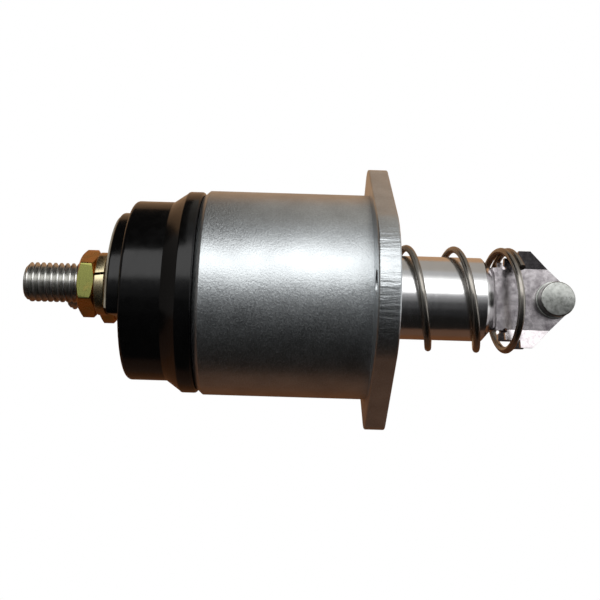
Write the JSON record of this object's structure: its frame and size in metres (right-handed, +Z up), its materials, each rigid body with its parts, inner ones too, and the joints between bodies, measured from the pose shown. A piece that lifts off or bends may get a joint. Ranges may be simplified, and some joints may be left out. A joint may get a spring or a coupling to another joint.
{
  "type": "starter solenoid",
  "caption": "Cylindrical starter solenoid with an oval mounting flange, black terminal cap with threaded studs, and a sprung plunger that ends in a clevis and pin.",
  "frame": {"origin": "centre of the mounting flange's outer face, on the plunger's axis", "axes": "+X along the plunger's axis towards the clevis, +Y through one flange bolt hole, +Z up"},
  "size_m": [0.1799, 0.0998, 0.0882],
  "materials": {
    "zinc_case": "satin zinc plate on steel",
    "black_cap": "glossy black moulding",
    "gasket_rubber": "matt",
    "plain_steel": "turned",
    "brass_tube": "drawn",
    "bobbin_nylon": "moulded",
    "winding_copper": "enamelled copper",
    "fibre_board": "pale pressed board",
    "bright_stud": "bright plated",
    "yellow_zinc": "yellow chromated zinc on steel",
    "spring_wire": "drawn wire",
    "bright_plunger": "ground and plated",
    "clevis_zinc": "dull zinc plate"
  },
  "bodies": {
    "housing": {"case_shell": "zinc_case", "terminal_cap": "black_cap", "cap_gasket": "gasket_rubber", "core_plate": "plain_steel", "fixed_core": "plain_steel", "guide_tube": "brass_tube", "coil_bobbin": "bobbin_nylon", "pull_in_winding": "winding_copper", "hold_in_winding": "winding_copper", "switch_lead": "winding_copper", "motor_lead": "winding_copper", "coil_terminal": "brass_tube", "terminal_insulator": "fibre_board", "battery_stud": "bright_stud", "motor_stud": "bright_stud", "battery_nut": "yellow_zinc", "motor_nut": "yellow_zinc", "battery_lock_washer": "yellow_zinc", "motor_lock_washer": "yellow_zinc", "return_spring": "spring_wire", "contact_reset_spring": "spring_wire"},
    "plunger_set": {"plunger": "bright_plunger", "clevis_bracket": "clevis_zinc"},
    "pin_set": {"clevis_pin": "clevis_zinc", "head_washer": "clevis_zinc", "ring_washer": "clevis_zinc", "pin_ring": "spring_wire"},
    "contact_set": {"contact_rod": "plain_steel", "contact_spring": "spring_wire", "contact_bush": "bobbin_nylon", "contact_disc": "winding_copper", "contact_washer": "bobbin_nylon", "contact_clip": "spring_wire"}
  },
  "joints": [
    {"name": "plunger_slide", "type": "slide", "parent": "housing", "child": "plunger_set", "axis": [-1, 0, 0], "range_m": [0, 0.014], "stiffness_N_per_m": 2500, "springref_m": -0.012, "deforming": ["return_spring"]},
    {"name": "contact_slide", "type": "slide", "parent": "housing", "child": "contact_set", "axis": [-1, 0, 0], "range_m": [0, 0.0035], "deforming": ["contact_reset_spring"]},
    {"name": "clevis_pin_turn", "type": "hinge", "parent": "plunger_set", "child": "pin_set", "pos_m": [0.0559, 0, 0], "axis": [0, 1, 0], "continuous": true}
  ],
  "couplings": [
    {"joint": "contact_slide", "follows": "plunger_slide", "ratio": 0.25}
  ]
}
